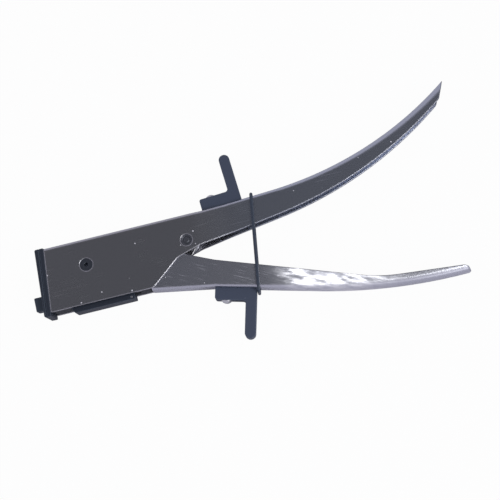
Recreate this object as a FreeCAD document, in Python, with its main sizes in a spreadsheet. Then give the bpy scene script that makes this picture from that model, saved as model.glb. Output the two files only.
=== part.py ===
import FreeCAD
import Part
import math
import os

# One-hand puller for staples. Millimetres, row frame: +X from the nose to the handles,
# +Y towards the upper handle, +Z out of the near side plate. The far side plate lies on z = 0.

doc = FreeCAD.newDocument("stapleRemover")
sheet = doc.addObject("Spreadsheet::Sheet", "Sizes")

sizes = [
    ("restX", 45.0),
    ("bodyWidth", 16.0),
    ("sheetThick", 1.2),
    ("topLine", 18.4),
    ("bottomLine", -16.3),
    ("noseLean", 4.6),
    ("noseThick", 4.9),
    ("kinkX", 86.5),
    ("webLift", 3.3),
    ("archStart", 126.0),
    ("archRadius", 200.0),
    ("tipAngle", 35.5),
    ("tipStraight", 1.2),
    ("handleInset", 1.9),
    ("taperStart", 82.0),
    ("taperEnd", 100.0),
    ("headBend", 1.6),
    ("tipBend", 3.8),
    ("frontPinX", 21.0),
    ("frontPinY", 4.4),
    ("frontPinRadius", 3.45),
    ("pivotX", 76.0),
    ("pivotY", 4.5),
    ("pivotRadius", 3.1),
    ("pinRecess", 0.4),
    ("shaftGap", 0.05),
    ("driveArm", 13.3),
    ("driveRadius", 1.5),
    ("driveRise", 1.0),
    ("driveSkin", 0.4),
    ("barThick", 3.0),
    ("barHeight", 5.6),
    ("barMiddle", -9.75),
    ("tipOut", 4.1),
    ("tipHeight", 7.6),
    ("tipWidth", 6.0),
    ("tipLength", 9.0),
    ("slideGap", 0.15),
    ("railEnd", 51.0),
    ("railFloor", 1.6),
    ("blockStart", 8.3),
    ("blockLength", 34.1),
    ("blockWidth", 10.0),
    ("blockDrop", 2.7),
    ("blockTravel", 7.0),
    ("leverFrontX", 52.0),
    ("leverWebY", -17.4),
    ("webX", 84.5),
    ("webY", -23.14),
    ("webAngle", 15.12),
    ("webRun", 95.0),
    ("leverBend", 1.5),
    ("leverTipBend", 3.6),
    ("leverEnd", 218.4),
    ("bossRadius", 5.8),
    ("washerThick", 0.6),
    ("washerGap", 0.05),
    ("guardFoot", 22.2),
    ("guardThick", 6.6),
    ("guardArm", 5.8),
    ("guardHeight", 26.8),
    ("guardWidth", 8.0),
    ("guardScrewX", 6.2),
    ("upperGuardX", 87.6),
    ("lowerGuardX", 85.0),
    ("screwRadius", 1.5),
    ("screwHead", 3.0),
    ("headRise", 1.7),
    ("headCrown", 3.5),
    ("nutSide", 5.5),
    ("nutThick", 2.2),
    ("loopX", 115.2),
    ("loopGap", 0.3),
    ("loopDrop", 0.7),
    ("wireRadius", 0.85),
    ("wireBend", 2.6),
    ("springWire", 1.3),
    ("springTurns", 4.0),
    ("springLean", -42.0),
    ("springLowLeg", 24.0),
    ("springHighLeg", 12.0),
]
row = 1
for name, number in sizes:
    sheet.set("A" + str(row), name)
    sheet.set("B" + str(row), str(number))
    sheet.setAlias("B" + str(row), name)
    row = row + 1
doc.recompute()


def size(name):
    return float(getattr(sheet, name))


def sized(text):
    # a formula over the sheet's names, written for setExpression
    words = ""
    current = ""
    for letter in text + " ":
        if letter.isalnum():
            current = current + letter
        else:
            if current and current[0].isalpha() and current in names:
                words = words + "Sizes." + current
            else:
                words = words + current
            current = ""
            words = words + letter
    return words.strip()


names = [pair[0] for pair in sizes]


def place(item, x, y, z):
    item.setExpression("Placement.Base.x", sized(x))
    item.setExpression("Placement.Base.y", sized(y))
    item.setExpression("Placement.Base.z", sized(z))


def boxOf(label, x, y, z, length, depth, height):
    item = doc.addObject("Part::Box", label)
    item.setExpression("Length", sized(length))
    item.setExpression("Width", sized(depth))
    item.setExpression("Height", sized(height))
    place(item, x, y, z)
    return item


def rodOf(label, x, y, z, radius, height):
    # a cylinder along Z
    item = doc.addObject("Part::Cylinder", label)
    item.setExpression("Radius", sized(radius))
    item.setExpression("Height", sized(height))
    place(item, x, y, z)
    return item


def standOf(label, x, y, z, radius, height):
    # a cylinder along Y
    item = rodOf(label, x, y, z, radius, height)
    turned = FreeCAD.Rotation(FreeCAD.Vector(1, 0, 0), -90)
    item.Placement = FreeCAD.Placement(item.Placement.Base, turned)
    return item


def cutOf(label, base, tool):
    item = doc.addObject("Part::Cut", label)
    item.Base = base
    item.Tool = tool
    return item


def fuseOf(label, parts):
    item = doc.addObject("Part::MultiFuse", label)
    item.Shapes = parts
    item.Refine = True
    return item


def commonOf(label, first, second):
    item = doc.addObject("Part::Common", label)
    item.Base = first
    item.Tool = second
    return item


def crownOf(label):
    # the ball that domes a screw head, half way across the tool
    item = doc.addObject("Part::Sphere", label)
    item.setExpression("Radius", sized("headCrown"))
    place(item, "0", "0", "bodyWidth / 2")
    return item


def roundedFace(corners, level=0.0):
    # a flat face at one height from corners (x, y, radius), every radius a tangent arc
    starts = []
    ends = []
    middles = []
    count = len(corners)
    for index in range(count):
        x, y, radius = corners[index]
        before = corners[index - 1]
        after = corners[(index + 1) % count]
        here = FreeCAD.Vector(x, y, level)
        back = FreeCAD.Vector(before[0], before[1], level).sub(here).normalize()
        ahead = FreeCAD.Vector(after[0], after[1], level).sub(here).normalize()
        if radius <= 0:
            starts.append(here)
            ends.append(here)
            middles.append(None)
            continue
        half = back.getAngle(ahead) / 2.0
        reach = radius / math.tan(half)
        inward = back.add(ahead).normalize()
        centre = here.add(FreeCAD.Vector(inward).multiply(radius / math.sin(half)))
        starts.append(here.add(FreeCAD.Vector(back).multiply(reach)))
        ends.append(here.add(FreeCAD.Vector(ahead).multiply(reach)))
        middles.append(centre.sub(FreeCAD.Vector(inward).multiply(radius)))
    edges = []
    for index in range(count):
        if middles[index] is not None:
            edges.append(Part.Arc(starts[index], middles[index], ends[index]).toShape())
        following = (index + 1) % count
        if ends[index].distanceToPoint(starts[following]) > 0.001:
            edges.append(Part.makeLine(ends[index], starts[following]))
    return Part.Face(Part.Wire(edges))


def sideSolid(corners, low, high):
    return roundedFace(corners, low).extrude(FreeCAD.Vector(0, 0, high - low))


def planSolid(corners):
    # corners are (x, z, radius); the solid runs from y = -150 to y = 150
    solid = roundedFace(corners).extrude(FreeCAD.Vector(0, 0, 300))
    solid.rotate(FreeCAD.Vector(0, 0, 0), FreeCAD.Vector(1, 0, 0), 90)
    solid.translate(FreeCAD.Vector(0, 150, 0))
    return solid


def shapeOf(label, shape):
    item = doc.addObject("Part::Feature", label)
    item.Shape = shape
    return item


def bendRadius(x, first, last, start, end):
    # the bend grows evenly between two stations along the handle
    if x <= start:
        return first
    if x >= end:
        return last
    return first + (last - first) * (x - start) / (end - start)


def grownFillet(label, base, chosen, radii):
    # one fillet whose radius follows x along a chain of edges
    item = doc.addObject("Part::Fillet", label)
    item.Base = base
    rows = []
    for number, edge in enumerate(base.Shape.Edges, 1):
        if chosen(edge):
            first = edge.valueAt(edge.FirstParameter)
            last = edge.valueAt(edge.LastParameter)
            rows.append((number, radii(first.x), radii(last.x)))
    item.Edges = rows
    return item


# ---- body channel: one folded sheet, web on top, side plates down both sides ----
width = size("bodyWidth")
thick = size("sheetThick")
top = size("topLine")
bottom = size("bottomLine")
inset = size("handleInset")
# the lever lies inside the side plates with a washer and two gaps at each side
leverSide = "sheetThick + washerThick + 2 * washerGap"
leverInset = size("sheetThick") + size("washerThick") + 2.0 * size("washerGap")
lean = math.tan(math.radians(size("noseLean")))
lift = math.radians(size("webLift"))
tipTurn = math.radians(size("tipAngle"))
arch = size("archRadius") * math.tan((tipTurn - lift) / 2.0)
kinkX = size("kinkX")
kneeX = size("archStart") + arch * math.cos(lift)
kneeY = top + (kneeX - kinkX) * math.tan(lift)
tipX = kneeX + (arch + size("tipStraight")) * math.cos(tipTurn)
tipY = kneeY + (arch + size("tipStraight")) * math.sin(tipTurn)

bodyCorners = [
    (0.3 + lean, top + 1.0, 0.0),
    (tipX + 0.9, tipY + 2.0, 0.0),
    (tipX - 5.0, tipY - 10.6, 3.0),
    (tipX - 51.6, tipY - 43.7, 220.0),
    (size("pivotX") + 6.5, size("pivotY") - 4.3, 8.0),
    (size("pivotX") - 6.5, size("pivotY") - 8.0, 6.0),
    (size("pivotX") - 22.5, bottom, 3.5),
    (0.3 - (top - bottom) * lean, bottom, 0.4),
]
tongueCorners = [
    (-20.0, -1.0, 0.0),
    (size("taperEnd"), -1.0, 0.0),
    (size("taperEnd") + 5.0, inset - 0.5, 0.0),
    (tipX + 0.1, inset - 0.5, 4.6),
    (tipX + 0.1, width - inset + 0.5, 4.6),
    (size("taperEnd") + 5.0, width - inset + 0.5, 0.0),
    (size("taperEnd"), width + 1.0, 0.0),
    (-20.0, width + 1.0, 0.0),
]


def foldSolid(drop):
    # everything under the web's upper face, lowered and narrowed by drop
    kink = (kinkX + drop * math.tan(lift / 2.0), top - drop)
    turn = (tipTurn + lift) / 2.0
    stretch = drop / math.cos((tipTurn - lift) / 2.0)
    knee = (kneeX + stretch * math.sin(turn), kneeY - stretch * math.cos(turn))
    farX = knee[0] + 100.0 * math.cos(tipTurn)
    sideCorners = [
        (-20.0, top - drop, 0.0),
        (kink[0], kink[1], 8.0 + drop),
        (knee[0], knee[1], size("archRadius") + drop),
        (farX, knee[1] + 100.0 * math.sin(tipTurn), 0.0),
        (farX, -90.0, 0.0),
        (-20.0, -90.0, 0.0),
    ]
    plan = [
        (-20.0, drop, 0.0),
        (size("taperStart"), drop, 40.0),
        (size("taperEnd"), inset + drop, 40.0),
        (tipX + 60.0, inset + drop, 0.0),
        (tipX + 60.0, width - inset - drop, 0.0),
        (size("taperEnd"), width - inset - drop, 40.0),
        (size("taperStart"), width - drop, 40.0),
        (-20.0, width - drop, 0.0),
    ]
    return sideSolid(sideCorners, 0.0, width).common(planSolid(plan))


bodyBlankItem = shapeOf("bodyBlank", foldSolid(0.0))
bodyHollowItem = shapeOf("bodyHollow", foldSolid(thick))


def topBend(edge):
    # edges running along the web: they span x and stay high
    first = edge.valueAt(edge.FirstParameter)
    last = edge.valueAt(edge.LastParameter)
    if abs(first.x - last.x) < 0.5 or abs(first.z - last.z) > 6.0:
        return False
    return first.y > 5.0 and last.y > 5.0


def topRadii(x):
    return bendRadius(x, size("headBend"), size("tipBend"), size("archStart") - 20.0, tipX)


bodyOuter = grownFillet(
    "bodyOuter",
    bodyBlankItem,
    topBend,
    topRadii,
)
bodyInner = grownFillet(
    "bodyInner",
    bodyHollowItem,
    topBend,
    lambda x: topRadii(x) - thick,
)
bodyShell = cutOf("bodyShell", bodyOuter, bodyInner)
bodyOutline = shapeOf(
    "bodyOutline",
    sideSolid(bodyCorners, -1.0, width + 1.0).common(planSolid(tongueCorners)),
)
bodyTrim = commonOf("bodyTrim", bodyShell, bodyOutline)


def upperPlace(item, along, out, turned):
    # a place in the upper guard's frame: along the web and out from it
    base = "topLine + (upperGuardX - kinkX) * tan(webLift)"
    x = "upperGuardX + (" + along + ") * cos(webLift) - (" + out + ") * sin(webLift)"
    y = base + " + (" + along + ") * sin(webLift) + (" + out + ") * cos(webLift)"
    spin = FreeCAD.Rotation(FreeCAD.Vector(0, 0, 1), size("webLift"))
    item.Placement = FreeCAD.Placement(item.Placement.Base, spin.multiply(turned))
    item.setExpression("Placement.Base.x", sized(x))
    item.setExpression("Placement.Base.y", sized(y))


upRight = FreeCAD.Rotation(FreeCAD.Vector(1, 0, 0), -90)
downRight = FreeCAD.Rotation(FreeCAD.Vector(1, 0, 0), 90)
noTurn = FreeCAD.Rotation()
frontHole = rodOf(
    "frontHole", "frontPinX", "frontPinY", "-5", "frontPinRadius + shaftGap", "bodyWidth + 10"
)
pivotHole = rodOf("pivotHole", "pivotX", "pivotY", "-5", "pivotRadius + shaftGap", "bodyWidth + 10")
upperScrewHole = rodOf("upperScrewHole", "0", "0", "bodyWidth / 2", "screwRadius + shaftGap", "10")
upperPlace(upperScrewHole, "guardScrewX", "-5", upRight)
bodyHoles = fuseOf("bodyHoles", [frontHole, pivotHole, upperScrewHole])
bodyChannel = cutOf("body_channel", bodyTrim, bodyHoles)

# ---- nose cap: leaning moulded front with a tail held by the front pin ----
noseTop = top + 0.3
noseBottom = bottom - 1.9
noseBack = 0.25 - (noseTop - noseBottom) * lean
noseCorners = [
    (0.25, noseTop, 0.5),
    (noseBack, noseBottom, 0.5),
    (noseBack - size("noseThick") + 1.2, noseBottom, 0.9),
    (0.25 - size("noseThick"), noseTop, 0.9),
]
noseSlab = shapeOf("noseSlab", sideSolid(noseCorners, 0.08, width - 0.08))
noseTail = boxOf(
    "noseTail", "-3.2", "-4.4", "sheetThick + 0.05", "30", "17.5", "bodyWidth - 2 * sheetThick - 0.1"
)
noseSolid = fuseOf("noseSolid", [noseSlab, noseTail])
noseBore = rodOf("noseBore", "frontPinX", "frontPinY", "-5", "frontPinRadius + shaftGap", "30")
noseSlot = boxOf(
    "noseSlot",
    "-30",
    "barMiddle - tipHeight / 2 - slideGap",
    "(bodyWidth - tipWidth) / 2 - slideGap",
    "60",
    "tipHeight + 2 * slideGap",
    "tipWidth + 2 * slideGap",
)
nearGroove = boxOf("nearGroove", "-0.25", "-60", "bodyWidth - 0.5", "0.5", "120", "5")
farGroove = boxOf("farGroove", "-0.25", "-60", "-4.5", "0.5", "120", "5")
grooves = fuseOf("grooves", [nearGroove, farGroove])
grooveTurn = FreeCAD.Rotation(FreeCAD.Vector(0, 0, 1), -size("noseLean"))
grooveX = (0.25 + noseBack - size("noseThick")) / 2.0
grooves.Placement = FreeCAD.Placement(
    FreeCAD.Vector(grooveX, (noseTop + noseBottom) / 2.0, 0), grooveTurn
)
noseTools = fuseOf("noseTools", [noseBore, noseSlot, grooves])
noseCap = cutOf("nose_cap", noseSolid, noseTools)

# ---- front pin: a flush hollow-ended cross pin ----
frontShaft = rodOf(
    "frontShaft",
    "frontPinX",
    "frontPinY",
    "pinRecess",
    "frontPinRadius",
    "bodyWidth - 2 * pinRecess",
)
frontDimple = rodOf("frontDimple", "frontPinX", "frontPinY", "bodyWidth - 4", "1.2", "10")
frontPin = cutOf("front_pin", frontShaft, frontDimple)

# ---- pivot pin: ring-turned ends ----
pivotShaft = rodOf(
    "pivotShaft", "pivotX", "pivotY", "pinRecess / 2", "pivotRadius", "bodyWidth - pinRecess"
)
ringOuter = rodOf("ringOuter", "pivotX", "pivotY", "bodyWidth - 0.8", "pivotRadius - 0.7", "5")
ringInner = rodOf("ringInner", "pivotX", "pivotY", "bodyWidth - 1.5", "1.3", "9")
ringCut = cutOf("ringCut", ringOuter, ringInner)
pivotPin = cutOf("pivot_pin", pivotShaft, ringCut)

# ---- guide rail and sliding block under the head ----
railFloorBox = boxOf(
    "railFloorBox",
    "-1.9",
    "bottomLine + 0.25",
    "sheetThick + 0.05",
    "railEnd + 1.9",
    "railFloor - 0.45",
    "bodyWidth - 2 * sheetThick - 0.1",
)
farRib = boxOf(
    "farRib", "-1.4", "bottomLine + 0.25", "sheetThick + 0.05", "railEnd + 1.4", "7", "1.5"
)
nearRib = boxOf(
    "nearRib",
    "-1.4",
    "bottomLine + 0.25",
    "bodyWidth - sheetThick - 1.55",
    "railEnd + 1.4",
    "7",
    "1.5",
)
railSolid = fuseOf("railSolid", [railFloorBox, farRib, nearRib])
railSlot = boxOf(
    "railSlot",
    "blockStart + 4 - slideGap",
    "bottomLine - 5",
    "bodyWidth / 2 - 2 - slideGap",
    "blockLength - 8 + blockTravel + 2 * slideGap",
    "10",
    "4 + 2 * slideGap",
)
guideRail = cutOf("guide_rail", railSolid, railSlot)

blockCorners = [
    (size("blockStart") - 0.4, bottom + 0.2, 0.3),
    (size("blockStart") + 1.2, bottom - 0.2 - size("blockDrop"), 0.6),
    (size("blockStart") + size("blockLength"), bottom - 0.2 - size("blockDrop"), 0.4),
    (size("blockStart") + size("blockLength"), bottom + 0.2, 0.2),
]
blockLow = (width - size("blockWidth")) / 2.0
blockBar = shapeOf("blockBar", sideSolid(blockCorners, blockLow, width - blockLow))
blockStem = boxOf(
    "blockStem",
    "blockStart + 4",
    "bottomLine - 1",
    "bodyWidth / 2 - 2",
    "blockLength - 8",
    "railFloor + 0.9",
    "4",
)
blockSolid = fuseOf("blockSolid", [blockBar, blockStem])
catchHole = rodOf(
    "catchHole",
    "blockStart + blockLength - 1.8",
    "bottomLine - 1.6",
    "-5",
    "0.6",
    "30",
)
blockScrewHoleOne = standOf(
    "blockScrewHoleOne", "blockStart + 9", "bottomLine - 1.5", "bodyWidth / 2", "0.9", "9"
)
blockScrewHoleTwo = standOf(
    "blockScrewHoleTwo",
    "blockStart + blockLength - 9",
    "bottomLine - 1.5",
    "bodyWidth / 2",
    "0.9",
    "9",
)
blockHoles = fuseOf("blockHoles", [catchHole, blockScrewHoleOne, blockScrewHoleTwo])
slideBlock = cutOf("slide_block", blockSolid, blockHoles)
blockPin = rodOf(
    "block_pin",
    "blockStart + blockLength - 1.8",
    "bottomLine - 1.6",
    "(bodyWidth - blockWidth) / 2 + 0.05",
    "0.57",
    "blockWidth - 0.1",
)
keeperPlate = boxOf(
    "keeperPlate",
    "blockStart + 4",
    "bottomLine + railFloor - 0.05",
    "bodyWidth / 2 - 4.2",
    "blockLength - 8",
    "0.9",
    "8.4",
)
keeperHoleOne = standOf(
    "keeperHoleOne", "blockStart + 9", "bottomLine - 1", "bodyWidth / 2", "0.93", "9"
)
keeperHoleTwo = standOf(
    "keeperHoleTwo", "blockStart + blockLength - 9", "bottomLine - 1", "bodyWidth / 2", "0.93", "9"
)
keeperHoles = fuseOf("keeperHoles", [keeperHoleOne, keeperHoleTwo])
slideKeeper = cutOf("slide_keeper", keeperPlate, keeperHoles)
screwShankOne = standOf(
    "screwShankOne", "blockStart + 9", "bottomLine - 1.2", "bodyWidth / 2", "0.87", "railFloor + 2.1"
)
screwHeadOne = standOf(
    "screwHeadOne",
    "blockStart + 9",
    "bottomLine + railFloor + 0.88",
    "bodyWidth / 2",
    "1.6",
    "0.6",
)
screwShankTwo = standOf(
    "screwShankTwo",
    "blockStart + blockLength - 9",
    "bottomLine - 1.2",
    "bodyWidth / 2",
    "0.87",
    "railFloor + 2.1",
)
screwHeadTwo = standOf(
    "screwHeadTwo",
    "blockStart + blockLength - 9",
    "bottomLine + railFloor + 0.88",
    "bodyWidth / 2",
    "1.6",
    "0.6",
)
keeperScrews = fuseOf(
    "keeper_screws", [screwShankOne, screwHeadOne, screwShankTwo, screwHeadTwo]
)

# ---- claw bar, its tip and the rivet between them ----
noseFace = "(0.25 - (topLine + 0.3 - barMiddle) * tan(noseLean) - noseThick)"
tipStart = noseFace + " - tipOut"
barLong = boxOf(
    "barLong",
    tipStart + " + 3",
    "barMiddle - barHeight / 2",
    "(bodyWidth - barThick) / 2",
    "pivotX + 3 - (" + tipStart + " + 3)",
    "barHeight",
    "barThick",
)
barEar = boxOf(
    "barEar",
    "pivotX - 6",
    "barMiddle - barHeight / 2",
    "(bodyWidth - barThick) / 2",
    "9",
    "pivotY - driveArm + driveRadius + driveRise + 1 - barMiddle + barHeight / 2",
    "barThick",
)
barSolid = fuseOf("barSolid", [barLong, barEar])
barSlot = boxOf(
    "barSlot",
    "pivotX - driveRadius - 0.1",
    "pivotY - driveArm - driveRadius - 0.1",
    "0",
    "2 * driveRadius + 0.2",
    "2 * driveRadius + driveRise + 0.2",
    "bodyWidth",
)
rivetHoleInBar = rodOf("rivetHoleInBar", tipStart + " + 6", "barMiddle", "-5", "0.83", "30")
barHoles = fuseOf("barHoles", [barSlot, rivetHoleInBar])
clawBar = cutOf("claw_bar", barSolid, barHoles)
tipBox = boxOf(
    "tipBox",
    tipStart,
    "barMiddle - tipHeight / 2",
    "(bodyWidth - tipWidth) / 2",
    "tipLength",
    "tipHeight",
    "tipWidth",
)
tipRounded = doc.addObject("Part::Fillet", "tipRounded")
tipRounded.Base = tipBox
tipMortise = boxOf(
    "tipMortise",
    tipStart + " + 2.95",
    "barMiddle - barHeight / 2 - 0.04",
    "(bodyWidth - barThick) / 2 - 0.04",
    "20",
    "barHeight + 0.08",
    "barThick + 0.08",
)
rivetHoleInTip = rodOf("rivetHoleInTip", tipStart + " + 6", "barMiddle", "-5", "0.83", "30")
tipHoles = fuseOf("tipHoles", [tipMortise, rivetHoleInTip])
doc.recompute()
frontRows = []
for number, edge in enumerate(tipBox.Shape.Edges, 1):
    if edge.BoundBox.XMax < tipBox.Placement.Base.x + 0.01:
        frontRows.append((number, 0.7, 0.7))
tipRounded.Edges = frontRows
clawTip = cutOf("claw_tip", tipRounded, tipHoles)
tipRivet = rodOf(
    "tip_rivet",
    tipStart + " + 6",
    "barMiddle",
    "(bodyWidth - tipWidth) / 2 + 0.1",
    "0.8",
    "tipWidth - 0.2",
)

# ---- lever: lower handle folded from one sheet, web on the underside ----
slope = math.radians(size("webAngle"))
bendX = size("webX") + size("webRun") * math.cos(slope)
bendY = size("webY") - size("webRun") * math.sin(slope)
leverTipX = size("leverEnd")
leverTipY = bendY + (leverTipX - bendX) * 0.012


def webPath(drop):
    # the underside from front to tip, moved up by drop
    points = [
        (size("leverFrontX") - 40.0, size("leverWebY") + 7.6),
        (size("webX"), size("webY")),
        (bendX, bendY),
        (leverTipX + 40.0, leverTipY + 0.48),
    ]
    moved = []
    for index in range(4):
        x, y = points[index]
        turns = []
        if index > 0:
            turns.append(math.atan2(y - points[index - 1][1], x - points[index - 1][0]))
        if index < 3:
            turns.append(math.atan2(points[index + 1][1] - y, points[index + 1][0] - x))
        middle = sum(turns) / len(turns)
        stretch = drop / math.cos((turns[0] - turns[-1]) / 2.0)
        moved.append((x - stretch * math.sin(middle), y + stretch * math.cos(middle)))
    return moved


def leverFold(drop):
    path = webPath(drop)
    sideCorners = [
        (path[0][0], path[0][1], 0.0),
        (path[1][0], path[1][1], 8.0 + drop),
        (path[2][0], path[2][1], 290.0 - drop),
        (path[3][0], path[3][1], 0.0),
        (path[3][0], 60.0, 0.0),
        (path[0][0], 60.0, 0.0),
    ]
    return sideSolid(sideCorners, leverInset + drop, width - leverInset - drop)


leverBlankItem = shapeOf("leverBlank", leverFold(0.0))
leverHollowItem = shapeOf("leverHollow", leverFold(thick))


def underBend(edge):
    # edges running along the web: they span x and stay low
    first = edge.valueAt(edge.FirstParameter)
    last = edge.valueAt(edge.LastParameter)
    if abs(first.x - last.x) < 0.5:
        return False
    if abs(first.z - last.z) > 0.01:
        return False
    return first.y < 20.0 and last.y < 20.0


leverOuter = grownFillet(
    "leverOuter",
    leverBlankItem,
    underBend,
    lambda x: bendRadius(x, size("leverBend"), size("leverTipBend"), size("webX") + 10.0, bendX),
)
leverInner = grownFillet(
    "leverInner",
    leverHollowItem,
    underBend,
    lambda x: bendRadius(
        x, size("leverBend") - thick, size("leverTipBend") - thick, size("webX") + 10.0, bendX
    ),
)
leverShell = cutOf("leverShell", leverOuter, leverInner)
topSlope = math.tan(math.radians(19.88))
shoulderX = size("pivotX") + 12.0
shoulderY = size("pivotY") - 13.7
leverCorners = [
    (size("leverFrontX"), size("leverWebY") - 3.0, 0.0),
    (size("webX"), size("webY") - 6.0, 0.0),
    (bendX, bendY - 8.0, 0.0),
    (leverTipX, leverTipY - 6.0, 0.0),
    (leverTipX, leverTipY + 2.4, 1.2),
    (leverTipX - 3.0, leverTipY + 3.9, 1.5),
    (shoulderX + 82.6, shoulderY - 82.6 * topSlope, 80.0),
    (shoulderX, shoulderY, 30.0),
    (size("pivotX") - 3.6, size("pivotY") - 6.5, 1.0),
    (size("pivotX") - 1.5, size("pivotY") - 2.0, 0.0),
    (size("pivotX"), size("pivotY"), 0.0),
    (size("pivotX") - 5.0, size("pivotY"), 0.0),
    (size("pivotX") - 9.0, size("pivotY") - 8.5, 5.0),
    (size("leverFrontX"), size("leverWebY") + 5.4, 3.0),
]
leverProfile = sideSolid(leverCorners, -1.0, width + 1.0)
leverBoss = Part.makeCylinder(
    size("bossRadius"), width + 2.0, FreeCAD.Vector(size("pivotX"), size("pivotY"), -1.0)
)
leverTongue = [
    (-20.0, leverInset - 0.5, 0.0),
    (leverTipX + 0.1, leverInset - 0.5, 4.6),
    (leverTipX + 0.1, width - leverInset + 0.5, 4.6),
    (-20.0, width - leverInset + 0.5, 0.0),
]
leverOutline = shapeOf(
    "leverOutline", leverProfile.fuse(leverBoss).removeSplitter().common(planSolid(leverTongue))
)
leverTrim = commonOf("leverTrim", leverShell, leverOutline)
leverPivotHole = rodOf("leverPivotHole", "pivotX", "pivotY", "-5", "pivotRadius + shaftGap", "30")
leverDriveHole = rodOf(
    "leverDriveHole",
    "pivotX",
    "pivotY - driveArm",
    leverSide + " + driveSkin",
    "driveRadius + 0.02",
    "bodyWidth - 2 * (" + leverSide + ") - 2 * driveSkin",
)


def lowerPlace(item, along, out, turned):
    # a place in the lower guard's frame: along the web and out from it
    base = "webY - (lowerGuardX - webX) * tan(webAngle)"
    x = "lowerGuardX + (" + along + ") * cos(webAngle) - (" + out + ") * sin(webAngle)"
    y = base + " - (" + along + ") * sin(webAngle) - (" + out + ") * cos(webAngle)"
    spin = FreeCAD.Rotation(FreeCAD.Vector(0, 0, 1), -size("webAngle"))
    item.Placement = FreeCAD.Placement(item.Placement.Base, spin.multiply(turned))
    item.setExpression("Placement.Base.x", sized(x))
    item.setExpression("Placement.Base.y", sized(y))


lowerScrewHole = rodOf("lowerScrewHole", "0", "0", "bodyWidth / 2", "screwRadius + shaftGap", "10")
lowerPlace(lowerScrewHole, "guardScrewX", "-5", downRight)
leverHoles = fuseOf("leverHoles", [leverPivotHole, leverDriveHole, lowerScrewHole])
lowerHandle = cutOf("lower_handle", leverTrim, leverHoles)

# ---- pivot hardware ----
farWasherDisc = rodOf(
    "farWasherDisc", "pivotX", "pivotY", "sheetThick + washerGap", "pivotRadius + 2", "washerThick"
)
nearWasherDisc = rodOf(
    "nearWasherDisc",
    "pivotX",
    "pivotY",
    "bodyWidth - sheetThick - washerGap - washerThick",
    "pivotRadius + 2",
    "washerThick",
)
washerDiscs = fuseOf("washerDiscs", [farWasherDisc, nearWasherDisc])
washerBore = rodOf("washerBore", "pivotX", "pivotY", "-5", "pivotRadius + shaftGap", "30")
pivotWashers = cutOf("pivot_washers", washerDiscs, washerBore)
sleeveTube = rodOf(
    "sleeveTube",
    "pivotX",
    "pivotY",
    leverSide + " + sheetThick + 0.05",
    "pivotRadius + 0.4",
    "bodyWidth - 2 * (" + leverSide + ") - 2 * sheetThick - 0.1",
)
sleeveBore = rodOf("sleeveBore", "pivotX", "pivotY", "-5", "pivotRadius + shaftGap", "30")
pivotSleeve = cutOf("pivot_sleeve", sleeveTube, sleeveBore)
drivePin = rodOf(
    "drive_pin",
    "pivotX",
    "pivotY - driveArm",
    leverSide + " + driveSkin + 0.02",
    "driveRadius",
    "bodyWidth - 2 * (" + leverSide + ") - 2 * driveSkin - 0.04",
)
farSpacer = rodOf(
    "farSpacer",
    "pivotX",
    "pivotY - driveArm",
    leverSide + " + sheetThick + 0.03",
    "driveRadius + 0.8",
    "(bodyWidth - barThick) / 2 - (" + leverSide + ") - sheetThick - 0.11",
)
nearSpacer = rodOf(
    "nearSpacer",
    "pivotX",
    "pivotY - driveArm",
    "(bodyWidth + barThick) / 2 + 0.08",
    "driveRadius + 0.8",
    "(bodyWidth - barThick) / 2 - (" + leverSide + ") - sheetThick - 0.11",
)
spacerTubes = fuseOf("spacerTubes", [farSpacer, nearSpacer])
spacerBore = rodOf("spacerBore", "pivotX", "pivotY - driveArm", "-5", "driveRadius + 0.03", "30")
driveSpacers = cutOf("drive_spacers", spacerTubes, spacerBore)

# ---- return spring: half turns in tilted planes round the sleeve, and two straight legs ----
wireHalf = size("springWire") / 2.0
coilRadius = size("pivotRadius") + 0.4 + wireHalf + 0.2
coilLow = leverInset + thick + wireHalf + 0.15
coilHigh = width - coilLow
halves = 2 * int(size("springTurns"))
climb = (coilHigh - coilLow) / halves
acrossY = FreeCAD.Vector(0, 1, 0)
springPieces = []
for index in range(halves):
    side = 1 - 2 * (index % 2)
    start = FreeCAD.Vector(side * coilRadius, 0, coilLow + index * climb)
    centre = FreeCAD.Vector(0, 0, start.z + climb / 2.0)
    axis = FreeCAD.Vector(side * climb, 0, 2 * coilRadius)
    disc = Part.Face(Part.Wire(Part.makeCircle(wireHalf, start, acrossY)))
    springPieces.append(disc.revolve(centre, axis, 180))
lastStart = FreeCAD.Vector(coilRadius, 0, coilHigh)
lastDisc = Part.Face(Part.Wire(Part.makeCircle(wireHalf, lastStart, acrossY)))
lastCentre = FreeCAD.Vector(0, 0, coilHigh)
springPieces.append(lastDisc.revolve(lastCentre, FreeCAD.Vector(0, 0, 1), 90))
lowStart = FreeCAD.Vector(coilRadius, 0, coilLow)
highStart = FreeCAD.Vector(0, coilRadius, coilHigh)
springPieces.append(
    Part.makeCylinder(wireHalf, size("springLowLeg"), lowStart, FreeCAD.Vector(0, -1, 0))
)
springPieces.append(
    Part.makeCylinder(wireHalf, size("springHighLeg"), highStart, FreeCAD.Vector(-1, 0, 0))
)
springSolid = springPieces[0].multiFuse(springPieces[1:])
springSolid.rotate(
    FreeCAD.Vector(0, 0, 0), FreeCAD.Vector(0, 0, 1), size("springLean")
)
springSolid.translate(FreeCAD.Vector(size("pivotX"), size("pivotY"), 0))
returnSpring = shapeOf("return_spring", springSolid)

# ---- finger guards: one moulding used twice ----
foot = size("guardFoot")
arm = size("guardArm")
reach = size("guardHeight")
step = size("guardThick")


def guardSolid(side):
    corners = [
        (0.0, 0.0, 0.4),
        (foot, 0.0, 0.4),
        (foot, side * reach, arm / 2.0 - 0.05),
        (foot - arm, side * reach, arm / 2.0 - 0.05),
        (foot - arm, side * step, 1.6),
        (0.0, side * step, 1.2),
    ]
    return sideSolid(corners, -size("guardWidth") / 2.0, size("guardWidth") / 2.0)


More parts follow.
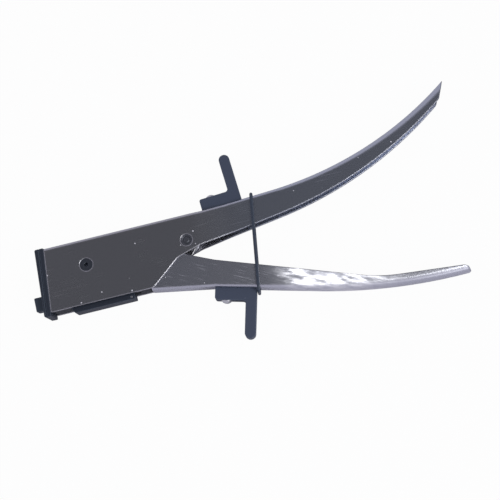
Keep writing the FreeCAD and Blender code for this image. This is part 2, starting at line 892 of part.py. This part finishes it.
upperGuardBlank = shapeOf("upperGuardBlank", guardSolid(1.0))
upperPlace(upperGuardBlank, "0", "0.05", noTurn)
upperGuardBlank.setExpression("Placement.Base.z", sized("bodyWidth / 2"))
upperGuardHole = rodOf("upperGuardHole", "0", "0", "bodyWidth / 2", "screwRadius + shaftGap", "30")
upperPlace(upperGuardHole, "guardScrewX", "-5", upRight)
upperGuard = cutOf("upper_guard", upperGuardBlank, upperGuardHole)
lowerGuardBlank = shapeOf("lowerGuardBlank", guardSolid(-1.0))
lowerPlace(lowerGuardBlank, "0", "0.05", noTurn)
lowerGuardBlank.setExpression("Placement.Base.z", sized("bodyWidth / 2"))
lowerGuardHole = rodOf("lowerGuardHole", "0", "0", "bodyWidth / 2", "screwRadius + shaftGap", "30")
lowerPlace(lowerGuardHole, "guardScrewX", "-5", downRight)
lowerGuard = cutOf("lower_guard", lowerGuardBlank, lowerGuardHole)

# ---- guard screws and square nuts ----
upperShank = rodOf(
    "upperShank",
    "0",
    "0",
    "bodyWidth / 2",
    "screwRadius",
    "guardThick + sheetThick + nutThick + 0.8",
)
upperPlace(upperShank, "guardScrewX", "-sheetThick - nutThick - 0.6", upRight)
upperDisc = rodOf("upperDisc", "0", "0", "bodyWidth / 2", "screwHead", "headRise")
upperPlace(upperDisc, "guardScrewX", "guardThick + 0.07", upRight)
upperCrown = crownOf("upperCrown")
upperPlace(upperCrown, "guardScrewX", "guardThick + 0.07 + headRise - headCrown", upRight)
upperHead = commonOf("upperHead", upperDisc, upperCrown)
upperScrew = fuseOf("upper_guard_screw", [upperShank, upperHead])
lowerShank = rodOf(
    "lowerShank",
    "0",
    "0",
    "bodyWidth / 2",
    "screwRadius",
    "guardThick + sheetThick + nutThick + 0.8",
)
lowerPlace(lowerShank, "guardScrewX", "-sheetThick - nutThick - 0.6", downRight)
lowerDisc = rodOf("lowerDisc", "0", "0", "bodyWidth / 2", "screwHead", "headRise")
lowerPlace(lowerDisc, "guardScrewX", "guardThick + 0.07", downRight)
lowerCrown = crownOf("lowerCrown")
lowerPlace(lowerCrown, "guardScrewX", "guardThick + 0.07 + headRise - headCrown", downRight)
lowerHead = commonOf("lowerHead", lowerDisc, lowerCrown)
lowerScrew = fuseOf("lower_guard_screw", [lowerShank, lowerHead])
upperNutBox = boxOf(
    "upperNutBox", "0", "0", "(bodyWidth - nutSide) / 2", "nutSide", "nutThick", "nutSide"
)
upperPlace(
    upperNutBox, "guardScrewX - nutSide / 2", "-sheetThick - nutThick - 0.05", noTurn
)
upperNutBore = rodOf("upperNutBore", "0", "0", "bodyWidth / 2", "screwRadius + 0.02", "20")
upperPlace(upperNutBore, "guardScrewX", "-9", upRight)
upperNut = cutOf("upper_guard_nut", upperNutBox, upperNutBore)
lowerNutBox = boxOf(
    "lowerNutBox", "0", "0", "(bodyWidth - nutSide) / 2", "nutSide", "nutThick", "nutSide"
)
lowerPlace(lowerNutBox, "guardScrewX - nutSide / 2", "-sheetThick - 0.05", noTurn)
lowerNutBore = rodOf("lowerNutBore", "0", "0", "bodyWidth / 2", "screwRadius + 0.02", "20")
lowerPlace(lowerNutBore, "guardScrewX", "-9", downRight)
lowerNut = cutOf("lower_guard_nut", lowerNutBox, lowerNutBore)

# ---- lock loop: one closed wire round both handles ----
wire = size("wireRadius")
clear = wire + size("loopGap")
loopTop = FreeCAD.Vector(
    size("loopX"),
    top + (size("loopX") - kinkX) * math.tan(lift) + clear / math.cos(lift),
    0,
)
along = size("guardFoot") + clear
out = clear + size("loopDrop")
loopLow = FreeCAD.Vector(
    size("lowerGuardX") + along * math.cos(slope) - out * math.sin(slope),
    size("webY")
    - (size("lowerGuardX") - size("webX")) * math.tan(slope)
    - along * math.sin(slope)
    - out * math.cos(slope),
    0,
)
loopRun = loopTop.sub(loopLow)
loopFace = roundedFace(
    [
        (0.0, wire + 0.05, size("wireBend")),
        (loopRun.Length, wire + 0.05, size("wireBend")),
        (loopRun.Length, width - wire - 0.05, size("wireBend")),
        (0.0, width - wire - 0.05, size("wireBend")),
    ]
)
loopPath = loopFace.OuterWire
loopStart = loopPath.Edges[1].valueAt(loopPath.Edges[1].FirstParameter)
loopAhead = loopPath.Edges[1].tangentAt(loopPath.Edges[1].FirstParameter)
loopSection = Part.Wire(Part.makeCircle(wire, loopStart, loopAhead))
loopSolid = Part.Wire(loopPath.Edges[1:] + loopPath.Edges[:1]).makePipeShell(
    [loopSection], True, False
)
loopSolid.rotate(FreeCAD.Vector(0, 0, 0), FreeCAD.Vector(1, 0, 0), 90)
loopAngle = math.degrees(math.atan2(loopRun.y, loopRun.x))
loopSolid.rotate(FreeCAD.Vector(0, 0, 0), FreeCAD.Vector(0, 0, 1), loopAngle)
loopSolid.translate(loopLow)
lockLoop = shapeOf("lock_loop", loopSolid)

doc.recompute()

nodes = {
    "body_channel": bodyChannel,
    "nose_cap": noseCap,
    "front_pin": frontPin,
    "pivot_pin": pivotPin,
    "pivot_washers": pivotWashers,
    "guide_rail": guideRail,
    "slide_block": slideBlock,
    "slide_keeper": slideKeeper,
    "keeper_screws": keeperScrews,
    "block_pin": blockPin,
    "claw_bar": clawBar,
    "claw_tip": clawTip,
    "tip_rivet": tipRivet,
    "lower_handle": lowerHandle,
    "pivot_sleeve": pivotSleeve,
    "drive_pin": drivePin,
    "drive_spacers": driveSpacers,
    "return_spring": returnSpring,
    "upper_guard": upperGuard,
    "lower_guard": lowerGuard,
    "upper_guard_screw": upperScrew,
    "lower_guard_screw": lowerScrew,
    "upper_guard_nut": upperNut,
    "lower_guard_nut": lowerNut,
    "lock_loop": lockLoop,
}
for item in doc.Objects:
    state = " ".join(item.State)
    if "Invalid" in state or "Error" in state:
        raise RuntimeError("failed: " + item.Label + " " + state)
    if hasattr(item, "Shape") and (item.Shape.isNull() or not item.Shape.isValid()):
        raise RuntimeError("bad shape: " + item.Label)

os.makedirs("parts", exist_ok=True)
for name, item in nodes.items():
    solid = item.Shape.copy()
    solid.translate(FreeCAD.Vector(-size("restX"), 0, 0))
    solid.exportStep("parts/" + name + ".step")
    print(name, len(solid.Solids), round(solid.Volume, 2))
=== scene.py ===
import bpy
import math
from mathutils import Matrix, Vector

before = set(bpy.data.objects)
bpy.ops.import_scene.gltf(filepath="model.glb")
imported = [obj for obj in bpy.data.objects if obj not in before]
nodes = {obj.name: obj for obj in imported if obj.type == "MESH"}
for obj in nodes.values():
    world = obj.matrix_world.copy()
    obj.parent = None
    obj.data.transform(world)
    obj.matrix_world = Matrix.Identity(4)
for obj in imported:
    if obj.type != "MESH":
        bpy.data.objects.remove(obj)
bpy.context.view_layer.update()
print("frame loaded:", len(nodes), "nodes")


# small helpers for node trees
def link(tree, start, end):
    tree.links.new(start, end)


def addNode(tree, kind, values=None, **settings):
    node = tree.nodes.new(kind)
    for name, value in settings.items():
        setattr(node, name, value)
    for name, value in (values or {}).items():
        node.inputs[name].default_value = value
    return node


def maths(tree, operation, first, second=0.0, clamp=False):
    node = addNode(tree, "ShaderNodeMath", operation=operation, use_clamp=clamp)
    for index, value in enumerate((first, second)):
        if isinstance(value, (int, float)):
            node.inputs[index].default_value = value
        else:
            link(tree, value, node.inputs[index])
    return node.outputs[0]


def mapped(tree, value, low, high, outLow=0.0, outHigh=1.0):
    node = addNode(tree, "ShaderNodeMapRange", interpolation_type="SMOOTHSTEP")
    link(tree, value, node.inputs[0])
    for index, number in enumerate((low, high, outLow, outHigh)):
        node.inputs[index + 1].default_value = number
    return node.outputs[0]


def mixed(tree, factor, first, second):
    node = addNode(tree, "ShaderNodeMix", data_type="RGBA")
    for index, value in ((0, factor), (6, first), (7, second)):
        if isinstance(value, (int, float)):
            node.inputs[index].default_value = value
        elif isinstance(value, tuple):
            node.inputs[index].default_value = value + (1.0,)
        else:
            link(tree, value, node.inputs[index])
    return node.outputs[2]


def newGroup(name, inputs, outputs):
    group = bpy.data.node_groups.new(name, "ShaderNodeTree")
    for word, kind, value in inputs:
        socket = group.interface.new_socket(word, in_out="INPUT", socket_type=kind)
        socket.default_value = value
    for word, kind in outputs:
        group.interface.new_socket(word, in_out="OUTPUT", socket_type=kind)
    return group, group.nodes.new("NodeGroupInput"), group.nodes.new("NodeGroupOutput")


def useGroup(tree, group, values):
    node = tree.nodes.new("ShaderNodeGroup")
    node.node_tree = group
    for name, value in values.items():
        node.inputs[name].default_value = value
    return node


# shader groups shared by the finishes
def makeWearGroup():
    # fine scratches running one way, and small pale specks, both as masks
    group, start, end = newGroup(
        "surfaceWear",
        [
            ("Scratch Amount", "NodeSocketFloat", 0.5),
            ("Scratch Turn", "NodeSocketFloat", 0.0),
            ("Speck Size", "NodeSocketFloat", 0.1),
            ("Speck Spread", "NodeSocketFloat", 0.3),
        ],
        [("Scratches", "NodeSocketFloat"), ("Specks", "NodeSocketFloat")],
    )
    place = addNode(group, "ShaderNodeTexCoord")
    turned = addNode(group, "ShaderNodeVectorRotate", rotation_type="Z_AXIS")
    link(group, place.outputs["Object"], turned.inputs["Vector"])
    link(group, start.outputs["Scratch Turn"], turned.inputs["Angle"])
    long = addNode(group, "ShaderNodeMapping", {"Scale": (60.0, 2600.0, 900.0)})
    link(group, turned.outputs[0], long.inputs["Vector"])
    streaks = addNode(group, "ShaderNodeTexNoise", {"Scale": 1.0, "Detail": 3.0})
    link(group, long.outputs[0], streaks.inputs["Vector"])
    patches = addNode(group, "ShaderNodeTexNoise", {"Scale": 55.0, "Detail": 2.0})
    link(group, place.outputs["Object"], patches.inputs["Vector"])
    thin = mapped(group, streaks.outputs["Fac"], 0.58, 0.72)
    where = mapped(group, patches.outputs["Fac"], 0.5, 0.62)
    scratched = maths(group, "MULTIPLY", thin, where)
    scratched = maths(group, "MULTIPLY", scratched, start.outputs["Scratch Amount"], True)
    link(group, scratched, end.inputs["Scratches"])
    cells = addNode(group, "ShaderNodeTexVoronoi", {"Scale": 260.0})
    link(group, place.outputs["Object"], cells.inputs["Vector"])
    size = maths(group, "SUBTRACT", start.outputs["Speck Size"], cells.outputs["Distance"])
    dot = mapped(group, size, 0.0, 0.05)
    pick = addNode(group, "ShaderNodeSeparateColor")
    link(group, cells.outputs["Color"], pick.inputs[0])
    chosen = maths(group, "LESS_THAN", pick.outputs[0], start.outputs["Speck Spread"])
    link(group, maths(group, "MULTIPLY", dot, chosen), end.inputs["Specks"])
    return group


def makeRoundGroup():
    # softened corners with a fine peel, and a mask of the corners themselves
    group, start, end = newGroup(
        "softCorners",
        [
            ("Radius", "NodeSocketFloat", 0.0004),
            ("Peel", "NodeSocketFloat", 0.05),
            ("Peel Scale", "NodeSocketFloat", 900.0),
        ],
        [("Normal", "NodeSocketVector"), ("Corners", "NodeSocketFloat")],
    )
    place = addNode(group, "ShaderNodeTexCoord")
    bevel = addNode(group, "ShaderNodeBevel", samples=6)
    link(group, start.outputs["Radius"], bevel.inputs["Radius"])
    noise = addNode(group, "ShaderNodeTexNoise", {"Detail": 2.0})
    link(group, place.outputs["Object"], noise.inputs["Vector"])
    link(group, start.outputs["Peel Scale"], noise.inputs["Scale"])
    bump = addNode(group, "ShaderNodeBump", {"Distance": 0.0002})
    link(group, start.outputs["Peel"], bump.inputs["Strength"])
    link(group, noise.outputs["Fac"], bump.inputs["Height"])
    link(group, bevel.outputs[0], bump.inputs["Normal"])
    link(group, bump.outputs[0], end.inputs["Normal"])
    plain = addNode(group, "ShaderNodeNewGeometry")
    dot = addNode(group, "ShaderNodeVectorMath", operation="DOT_PRODUCT")
    link(group, bevel.outputs[0], dot.inputs[0])
    link(group, plain.outputs["Normal"], dot.inputs[1])
    link(group, mapped(group, dot.outputs["Value"], 0.995, 0.86), end.inputs["Corners"])
    return group


wearGroup = makeWearGroup()
roundGroup = makeRoundGroup()


def newMaterial(name):
    material = bpy.data.materials.new(name)
    material.use_nodes = True
    tree = material.node_tree
    tree.nodes.clear()
    shader = tree.nodes.new("ShaderNodeBsdfPrincipled")
    output = tree.nodes.new("ShaderNodeOutputMaterial")
    link(tree, shader.outputs[0], output.inputs["Surface"])
    return material, tree, shader


# plated sheet steel
steelValues = {
    "head": (0.60, 0.60, 0.63),
    "grip": (0.62, 0.655, 0.74),
    "speck": (0.92, 0.92, 0.95),
    "roughness": 0.24,
    "gripStart": 0.030,
    "gripEnd": 0.075,
    # painted shade: a dark grey for the rounded corners toward the handle end, which dims their
    # highlights
    "lipShade": (0.17, 0.17, 0.20),
    "lipShadeStart": 0.075,
    "lipShadeEnd": 0.115,
    "scratchRough": 0.3,
    "speckRough": 0.6,
    "wear": {"Scratch Amount": 0.35, "Speck Size": 0.13, "Speck Spread": 0.22},
    "corners": {"Radius": 0.0009, "Peel": 0.05, "Peel Scale": 1400.0},
}


def makePlatedSteel():
    material, tree, shader = newMaterial("platedSteel")
    v = steelValues
    place = addNode(tree, "ShaderNodeTexCoord")
    axes = addNode(tree, "ShaderNodeSeparateXYZ")
    link(tree, place.outputs["Object"], axes.inputs[0])
    toward = mapped(tree, axes.outputs[0], v["gripStart"], v["gripEnd"])
    base = mixed(tree, toward, v["head"], v["grip"])
    wear = useGroup(tree, wearGroup, v["wear"])
    soft = useGroup(tree, roundGroup, v["corners"])
    # painted shade: toward the handle end the rounded corners are mixed to the dark grey, as shade
    shadedEdge = mapped(tree, axes.outputs[0], v["lipShadeStart"], v["lipShadeEnd"])
    shadedEdge = maths(tree, "MULTIPLY", shadedEdge, soft.outputs["Corners"])
    base = mixed(tree, shadedEdge, base, v["lipShade"])
    marked = mixed(tree, wear.outputs["Specks"], base, v["speck"])
    link(tree, marked, shader.inputs["Base Color"])
    shader.inputs["Metallic"].default_value = 1.0
    rough = maths(tree, "MULTIPLY", wear.outputs["Scratches"], v["scratchRough"])
    speckled = maths(tree, "MULTIPLY", wear.outputs["Specks"], v["speckRough"])
    rough = maths(tree, "ADD", rough, speckled)
    link(tree, maths(tree, "ADD", rough, v["roughness"], True), shader.inputs["Roughness"])
    link(tree, soft.outputs["Normal"], shader.inputs["Normal"])
    return material


# the same plating on the lower handle, which is dished and rubbed, with a painted sheen: the rubbed
# patch is mixed toward near-white
rubbedSheenValues = {
    "base": (0.66, 0.67, 0.74),
    # near-white for the pale specks, and painted sheen for the rubbed patch
    "scuffAndSheen": (0.95, 0.95, 0.98),
    "roughness": 0.27,
    "rubSheenStart": 0.066,
    "rubSheenFull": 0.088,
    "rubSheenFade": 0.100,
    "rubSheenEnd": 0.145,
    "dish": 0.160,
    "rubDish": 0.225,
    "rubRough": 0.13,
    "edgeDish": 0.05,
    "grain": 0.14,
    # painted shade: a dark grey for the rounded top corners of the lower handle
    "lipShade": (0.10, 0.10, 0.13),
    "lipShadeStart": 0.004,
    "lipShadeEnd": 0.009,
    "leanX": 0.75,
    "leanY": -0.66,
    "slope": 0.27,
    "rise": 0.018,
    "edgeStart": 0.010,
    "edgeFull": 0.0145,
    "streakTurn": 0.42,
    "streakScale": (90.0, 420.0, 300.0),
    "streakLow": 0.34,
    "streakHigh": 0.64,
    "grainScale": 1100.0,
    "scratchRough": 0.25,
    "speckRough": 0.5,
    "wear": {"Scratch Amount": 0.8, "Scratch Turn": 0.5, "Speck Size": 0.10, "Speck Spread": 0.22},
    "corners": {"Radius": 0.0007, "Peel": 0.08, "Peel Scale": 1200.0},
}


def makeRubbedSheenSteel():
    material, tree, shader = newMaterial("rubbedSheenSteel")
    v = rubbedSheenValues
    place = addNode(tree, "ShaderNodeTexCoord")
    axes = addNode(tree, "ShaderNodeSeparateXYZ")
    link(tree, place.outputs["Object"], axes.inputs[0])
    x = axes.outputs[0]
    down = maths(tree, "MULTIPLY", x, v["slope"])
    across = maths(tree, "ADD", maths(tree, "ADD", axes.outputs[1], down), v["rise"])
    rising = mapped(tree, x, v["rubSheenStart"], v["rubSheenFull"])
    falling = mapped(tree, x, v["rubSheenEnd"], v["rubSheenFade"])
    rubbed = maths(tree, "MULTIPLY", rising, falling)
    turned = addNode(tree, "ShaderNodeVectorRotate", rotation_type="Z_AXIS")
    turned.inputs["Angle"].default_value = v["streakTurn"]
    link(tree, place.outputs["Object"], turned.inputs["Vector"])
    drawn = addNode(tree, "ShaderNodeMapping", {"Scale": v["streakScale"]})
    link(tree, turned.outputs[0], drawn.inputs["Vector"])
    clouds = addNode(tree, "ShaderNodeTexNoise", {"Scale": 1.0, "Detail": 6.0, "Roughness": 0.6})
    link(tree, drawn.outputs[0], clouds.inputs["Vector"])
    cloudy = mapped(tree, clouds.outputs["Fac"], v["streakLow"], v["streakHigh"])
    rubSheenAmount = maths(tree, "MULTIPLY", rubbed, cloudy)
    wear = useGroup(tree, wearGroup, v["wear"])
    # painted sheen: the streaked rubbed patch is mixed toward near-white, as well as the pale
    # specks below
    base = mixed(tree, rubSheenAmount, v["base"], v["scuffAndSheen"])
    base = mixed(tree, wear.outputs["Specks"], base, v["scuffAndSheen"])
    soft = useGroup(tree, roundGroup, v["corners"])
    # painted shade: the rounded corners above the sloped line are mixed to the dark grey
    shadedTopEdge = mapped(tree, across, v["lipShadeStart"], v["lipShadeEnd"])
    shadedTopEdge = maths(tree, "MULTIPLY", shadedTopEdge, soft.outputs["Corners"])
    base = mixed(tree, shadedTopEdge, base, v["lipShade"])
    link(tree, base, shader.inputs["Base Color"])
    shader.inputs["Metallic"].default_value = 1.0
    rough = maths(tree, "MULTIPLY", wear.outputs["Scratches"], v["scratchRough"])
    speckled = maths(tree, "MULTIPLY", wear.outputs["Specks"], v["speckRough"])
    rough = maths(tree, "ADD", rough, speckled)
    rough = maths(tree, "ADD", rough, maths(tree, "MULTIPLY", rubbed, v["rubRough"]))
    link(tree, maths(tree, "ADD", rough, v["roughness"], True), shader.inputs["Roughness"])
    # the side of the handle is dished: it leans to the near corner, more where it is rubbed
    upper = maths(tree, "MULTIPLY", mapped(tree, across, v["edgeStart"], v["edgeFull"]), rising)
    bright = maths(tree, "MULTIPLY", rubSheenAmount, v["rubDish"])
    edge = maths(tree, "MULTIPLY", maths(tree, "MULTIPLY", upper, falling), v["edgeDish"])
    bright = maths(tree, "ADD", bright, edge)
    grain = addNode(tree, "ShaderNodeTexNoise", {"Scale": v["grainScale"], "Detail": 3.0})
    link(tree, place.outputs["Object"], grain.inputs["Vector"])
    uneven = maths(tree, "MULTIPLY", maths(tree, "SUBTRACT", grain.outputs["Fac"], 0.5), v["grain"])
    lean = maths(tree, "MULTIPLY", maths(tree, "ADD", uneven, v["dish"]), -1.0)
    pushed = addNode(tree, "ShaderNodeCombineXYZ")
    link(tree, maths(tree, "MULTIPLY", bright, v["leanX"]), pushed.inputs[0])
    sunk = maths(tree, "ADD", lean, maths(tree, "MULTIPLY", bright, v["leanY"]))
    link(tree, sunk, pushed.inputs[1])
    added = addNode(tree, "ShaderNodeVectorMath", operation="ADD")
    link(tree, soft.outputs["Normal"], added.inputs[0])
    link(tree, pushed.outputs[0], added.inputs[1])
    level = addNode(tree, "ShaderNodeVectorMath", operation="NORMALIZE")
    link(tree, added.outputs[0], level.inputs[0])
    link(tree, level.outputs[0], shader.inputs["Normal"])
    return material


# black mouldings
mouldingValues = {
    # each moulding's paler corner colour is a painted highlight on its rounded edges
    "blackMoulding": {"base": (0.014, 0.020, 0.035), "cornerHighlight": (0.070, 0.09, 0.13)},
    "guardMoulding": {"base": (0.040, 0.052, 0.088), "cornerHighlight": (0.10, 0.125, 0.18)},
}
mouldingShared = {
    "roughness": 0.48,
    "scratchRough": 0.2,
    "cornerHighlightShare": 0.7,
    "speckShare": 0.5,
    "speck": (0.25, 0.28, 0.33),
    "wear": {"Scratch Amount": 0.5, "Speck Size": 0.07, "Speck Spread": 0.12},
    "corners": {"Radius": 0.0007, "Peel": 0.18, "Peel Scale": 2200.0},
}


def makeMoulding(name):
    material, tree, shader = newMaterial(name)
    v = {**mouldingShared, **mouldingValues[name]}
    soft = useGroup(tree, roundGroup, v["corners"])
    wear = useGroup(tree, wearGroup, v["wear"])
    # painted highlight: the rounded corners are mixed toward the paler corner colour
    highlightedCorners = maths(tree, "MULTIPLY", soft.outputs["Corners"], v["cornerHighlightShare"])
    base = mixed(tree, highlightedCorners, v["base"], v["cornerHighlight"])
    speckled = maths(tree, "MULTIPLY", wear.outputs["Specks"], v["speckShare"])
    base = mixed(tree, speckled, base, v["speck"])
    link(tree, base, shader.inputs["Base Color"])
    rough = maths(tree, "MULTIPLY", wear.outputs["Scratches"], v["scratchRough"])
    link(tree, maths(tree, "ADD", rough, v["roughness"]), shader.inputs["Roughness"])
    link(tree, soft.outputs["Normal"], shader.inputs["Normal"])
    return material


# plain metals, nylon and the coated wire
# base colour, metallic, roughness and corner radius of each
plainValues = {
    "pinSteel": ((0.19, 0.21, 0.25), 1.0, 0.34, 0.0003),
    "pivotSteel": ((0.22, 0.23, 0.26), 1.0, 0.40, 0.0004),
    "screwSteel": ((0.78, 0.78, 0.80), 1.0, 0.30, 0.0003),
    "barSteel": ((0.50, 0.50, 0.51), 1.0, 0.38, 0.0002),
    "darkSteel": ((0.028, 0.040, 0.065), 0.0, 0.45, 0.0006),
    "springSteel": ((0.42, 0.42, 0.43), 1.0, 0.32, 0.0001),
    "whiteNylon": ((0.72, 0.72, 0.68), 0.0, 0.5, 0.0003),
    "railBlack": ((0.010, 0.013, 0.019), 0.0, 0.60, 0.0004),
    "blackWire": ((0.030, 0.040, 0.062), 0.0, 0.30, 0.0001),
}
plainWear = {"Scratch Amount": 0.4, "Speck Size": 0.05, "Speck Spread": 0.1}


def makePlain(name):
    base, metallic, roughness, radius = plainValues[name]
    material, tree, shader = newMaterial(name)
    wear = useGroup(tree, wearGroup, plainWear)
    soft = useGroup(tree, roundGroup, {"Radius": radius, "Peel": 0.05})
    bright = tuple(min(1.0, part * 1.6 + 0.02) for part in base)
    link(tree, mixed(tree, wear.outputs["Scratches"], base, bright), shader.inputs["Base Color"])
    shader.inputs["Metallic"].default_value = metallic
    rough = maths(tree, "ADD", maths(tree, "MULTIPLY", wear.outputs["Scratches"], 0.2), roughness)
    link(tree, rough, shader.inputs["Roughness"])
    link(tree, soft.outputs["Normal"], shader.inputs["Normal"])
    return material


finishes = {name: makePlain(name) for name in plainValues}
finishes["platedSteel"] = makePlatedSteel()
finishes["rubbedSheenSteel"] = makeRubbedSheenSteel()
finishes.update({name: makeMoulding(name) for name in mouldingValues})

nodeFinish = {
    "body_channel": "platedSteel",
    "lower_handle": "rubbedSheenSteel",
    "slide_keeper": "screwSteel",
    "nose_cap": "blackMoulding",
    "guide_rail": "railBlack",
    "slide_block": "blackMoulding",
    "upper_guard": "guardMoulding",
    "lower_guard": "guardMoulding",
    "front_pin": "pinSteel",
    "pivot_pin": "pivotSteel",
    "pivot_washers": "screwSteel",
    "keeper_screws": "screwSteel",
    "block_pin": "screwSteel",
    "claw_bar": "barSteel",
    "claw_tip": "darkSteel",
    "tip_rivet": "pinSteel",
    "pivot_sleeve": "whiteNylon",
    "drive_spacers": "whiteNylon",
    "drive_pin": "barSteel",
    "return_spring": "springSteel",
    "upper_guard_screw": "screwSteel",
    "lower_guard_screw": "screwSteel",
    "upper_guard_nut": "screwSteel",
    "lower_guard_nut": "screwSteel",
    "lock_loop": "blackWire",
}
for name, piece in nodes.items():
    finish = finishes[nodeFinish[name]]
    if not piece.data.materials:
        piece.data.materials.append(finish)
    for slotItem in piece.material_slots:
        slotItem.material = finish
print("finishes set on", len(nodes), "nodes")

# floor, light and surroundings
floorValues = {"side": 6.0, "drop": 0.0004, "colour": (0.44, 0.43, 0.48), "lift": 0.97}


def makeFloor():
    v = floorValues
    half = v["side"] / 2.0
    mesh = bpy.data.meshes.new("studioFloor")
    corners = [(-half, -half), (half, -half), (half, half), (-half, half)]
    mesh.from_pydata([(x, y, -v["drop"]) for x, y in corners], [], [(0, 1, 2, 3)])
    floor = bpy.data.objects.new("studioFloor", mesh)
    bpy.context.collection.objects.link(floor)
    material = bpy.data.materials.new("studioPaper")
    material.use_nodes = True
    tree = material.node_tree
    tree.nodes.clear()
    paper = addNode(tree, "ShaderNodeBsdfDiffuse", {"Color": v["colour"] + (1.0,)})
    white = addNode(tree, "ShaderNodeEmission", {"Color": (1, 1, 1, 1), "Strength": 1.0})
    blend = addNode(tree, "ShaderNodeMixShader")
    rays = addNode(tree, "ShaderNodeLightPath")
    output = addNode(tree, "ShaderNodeOutputMaterial")
    link(tree, maths(tree, "MULTIPLY", rays.outputs["Is Camera Ray"], v["lift"]), blend.inputs[0])
    link(tree, paper.outputs[0], blend.inputs[1])
    link(tree, white.outputs[0], blend.inputs[2])
    link(tree, blend.outputs[0], output.inputs["Surface"])
    mesh.materials.append(material)
    return floor


worldValues = {
    "overhead": (0.080, 0.082, 0.094),
    "side": (0.44, 0.43, 0.50),
    "front": (1.25, 1.25, 1.32),
    "windowX": 0.75,
    "windowY": -0.66,
    "windowOpen": 0.61,
    "windowFull": 0.77,
    "sill": 0.3,
    "wallTop": 0.62,
    "ceiling": 0.93,
    "soft": (0.80, 0.81, 0.85),
}


def makeWorld():
    # a dark ceiling over pale walls, with a bright window low on the near right
    v = worldValues
    world = bpy.data.worlds.new("studioWorld")
    bpy.context.scene.world = world
    world.use_nodes = True
    tree = world.node_tree
    tree.nodes.clear()
    place = addNode(tree, "ShaderNodeTexCoord")
    axes = addNode(tree, "ShaderNodeSeparateXYZ")
    link(tree, place.outputs["Generated"], axes.inputs[0])
    high = mapped(tree, axes.outputs[2], v["wallTop"], v["ceiling"])
    walls = mixed(tree, high, v["side"], v["overhead"])
    right = maths(tree, "MULTIPLY", axes.outputs[0], v["windowX"])
    toward = maths(tree, "ADD", right, maths(tree, "MULTIPLY", axes.outputs[1], v["windowY"]))
    opening = mapped(tree, toward, v["windowOpen"], v["windowFull"])
    near = maths(tree, "MULTIPLY", opening, mapped(tree, axes.outputs[2], 0.0, v["sill"]))
    seen = mixed(tree, near, walls, v["front"])
    rays = addNode(tree, "ShaderNodeLightPath")
    lit = mixed(tree, rays.outputs["Is Glossy Ray"], v["soft"], seen)
    final = mixed(tree, rays.outputs["Is Camera Ray"], lit, (1.0, 1.0, 1.0))
    background = addNode(tree, "ShaderNodeBackground")
    link(tree, final, background.inputs["Color"])
    output = addNode(tree, "ShaderNodeOutputWorld")
    link(tree, background.outputs[0], output.inputs["Surface"])


lampValues = {"place": (0.58, -0.38, 0.72), "aim": (0.05, 0.0, 0.0), "power": 3.0, "side": 0.50}


def makeLamp():
    v = lampValues
    data = bpy.data.lights.new("softLamp", "AREA")
    data.energy = v["power"]
    data.size = v["side"]
    lamp = bpy.data.objects.new("softLamp", data)
    lamp.location = v["place"]
    aim = Vector(v["aim"]) - Vector(v["place"])
    lamp.rotation_euler = aim.to_track_quat("-Z", "Y").to_euler()
    bpy.context.collection.objects.link(lamp)


makeFloor()
makeWorld()
makeLamp()
print("studio built")

# the camera looks down on the near side plate, a little from the lower handle's side
cameraView = {
    "lookAt": (0.0626, -0.0091, 0.016),
    "distance": 0.55,
    "tilt": 11.0,
    "roll": 13.5,
    "across": 0.265,
}


def makeCamera(view):
    tilt = math.radians(view["tilt"])
    back = Vector((0.0, -math.sin(tilt), math.cos(tilt)))
    roll = math.radians(view["roll"])
    flatUp = Vector((math.sin(roll), math.cos(roll), 0.0))
    up = (flatUp - back * flatUp.dot(back)).normalized()
    right = up.cross(back)
    turn = Matrix((right, up, back)).transposed()
    data = bpy.data.cameras.new("viewCamera")
    data.sensor_width = 36.0
    data.lens = 36.0 * view["distance"] / view["across"]
    data.clip_end = 20.0
    camera = bpy.data.objects.new("viewCamera", data)
    place = Vector(view["lookAt"]) + back * view["distance"]
    camera.matrix_world = Matrix.Translation(place) @ turn.to_4x4()
    bpy.context.collection.objects.link(camera)
    bpy.context.scene.camera = camera


makeCamera(cameraView)
bpy.context.scene.view_settings.view_transform = "Standard"
print("camera placed")
